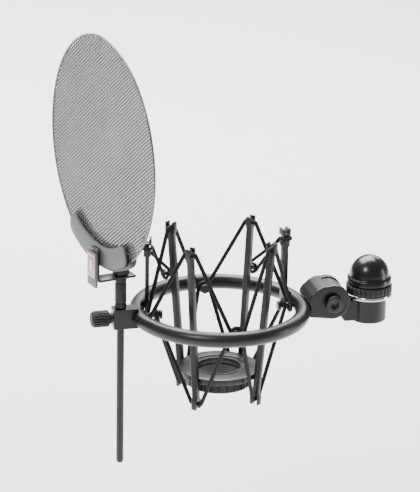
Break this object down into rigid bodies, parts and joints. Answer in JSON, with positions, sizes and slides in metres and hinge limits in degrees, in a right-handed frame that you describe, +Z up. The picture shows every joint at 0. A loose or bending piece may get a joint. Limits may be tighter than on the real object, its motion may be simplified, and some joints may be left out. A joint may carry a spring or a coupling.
{
  "type": "pop filter",
  "caption": "Round wire-mesh pop filter on a sliding rod, clamped to the ring of an elastic-suspension microphone shock mount with a tilting stand socket.",
  "frame": {"origin": "on the stand socket's axis, at the socket's bottom face", "axes": "+Z up along the socket, -X from the socket towards the suspension ring and the screen, +Y away from the front"},
  "size_m": [0.1751, 0.1186, 0.2376],
  "materials": {
    "satin_black_paint": "satin black powder coat, softly reflective",
    "gloss_black_plastic": "polished black moulding",
    "matte_black_plastic": "fine-grained black moulding",
    "black_elastic": "braided black cord over rubber",
    "wire_mesh": "fine woven wire, natural",
    "grey_clamp_paint": "satin mid grey",
    "red_enamel": "smooth red enamel in a thin bright border",
    "bright_chrome": "polished",
    "zinc_steel": "zinc plated",
    "black_steel": "black oxide"
  },
  "bodies": {
    "swivel": {"socket_body": "satin_black_paint", "thread_insert": "zinc_steel", "tilt_bolt": "black_steel", "tilt_nut": "black_steel"},
    "collar": {"collar_trim": "bright_chrome", "lock_collar": "matte_black_plastic"},
    "dome": {"dome_knob": "gloss_black_plastic", "knob_stud": "zinc_steel"},
    "ring": {"outer_ring": "satin_black_paint", "neck": "satin_black_paint", "elastic_peg_left": "satin_black_paint", "elastic_peg_front": "satin_black_paint", "elastic_peg_right": "satin_black_paint", "elastic_peg_back": "satin_black_paint", "ring_post_left": "satin_black_paint", "ring_post_right": "satin_black_paint", "rod_lug": "satin_black_paint", "upper_elastic": "black_elastic", "lower_elastic": "black_elastic", "side_elastic_left": "black_elastic", "side_elastic_right": "black_elastic"},
    "clamp": {"clamp_pad": "zinc_steel"},
    "thumbscrew": {"thumbscrew_knob": "matte_black_plastic", "thumbscrew_shank": "zinc_steel"},
    "rod": {"slide_rod": "satin_black_paint", "rod_sleeve": "matte_black_plastic"},
    "screen": {"bracket_strip": "satin_black_paint", "rod_head": "matte_black_plastic", "head_screw": "black_steel", "screen_mesh": "wire_mesh", "screen_hem": "wire_mesh", "front_clamp_plate": "grey_clamp_paint", "rear_clamp_plate": "satin_black_paint", "leg_screw_left": "zinc_steel", "leg_screw_right": "zinc_steel", "leg_nut_left": "zinc_steel", "leg_nut_right": "zinc_steel", "end_screw_left": "black_steel", "end_screw_right": "black_steel", "badge": "red_enamel"},
    "cage": {"strut_front_left": "satin_black_paint", "strut_front_right": "satin_black_paint", "strut_back_right": "satin_black_paint", "strut_back_left": "satin_black_paint", "cage_base": "satin_black_paint"},
    "nut": {"retaining_nut": "matte_black_plastic"}
  },
  "joints": [
    {"name": "swivel_tilt", "type": "hinge", "parent": "swivel", "child": "ring", "pos_m": [-0.0226, 0, 0.014], "axis": [0, 1, 0], "range_deg": [-40, 50]},
    {"name": "collar_turn", "type": "hinge", "parent": "swivel", "child": "collar", "pos_m": [0, 0, 0.0165], "axis": [0, 0, 1], "continuous": true},
    {"name": "dome_knob_turn", "type": "hinge", "parent": "swivel", "child": "dome", "pos_m": [0, 0, 0.027], "axis": [0, 0, 1], "continuous": true},
    {"name": "cage_bounce", "type": "slide", "parent": "ring", "child": "cage", "axis": [0, 0, 1], "range_m": [-0.005, 0.005], "stiffness_N_per_m": 1500, "springref_m": 0.0005, "deforming": ["upper_elastic", "lower_elastic", "side_elastic_left", "side_elastic_right"]},
    {"name": "retaining_nut_turn", "type": "hinge", "parent": "cage", "child": "nut", "pos_m": [-0.0826, 0, -0.027], "axis": [0, 0, 1], "continuous": true},
    {"name": "rod_slide", "type": "slide", "parent": "ring", "child": "rod", "axis": [0, 0, 1], "range_m": [0, 0.055]},
    {"name": "screen_swivel", "type": "hinge", "parent": "rod", "child": "screen", "pos_m": [-0.1366, 0, 0.041], "axis": [0, 0, 1], "range_deg": [-60, 45]},
    {"name": "pad_travel", "type": "slide", "parent": "ring", "child": "clamp", "axis": [-1, 0, 0], "range_m": [0, 0.0014]},
    {"name": "thumbscrew_turn", "type": "hinge", "parent": "clamp", "child": "thumbscrew", "pos_m": [-0.1426, 0, 0.011], "axis": [-1, 0, 0], "range_deg": [0, 720]}
  ],
  "couplings": [
    {"joint": "thumbscrew_turn", "follows": "pad_travel", "rad_per_m": 8970}
  ]
}
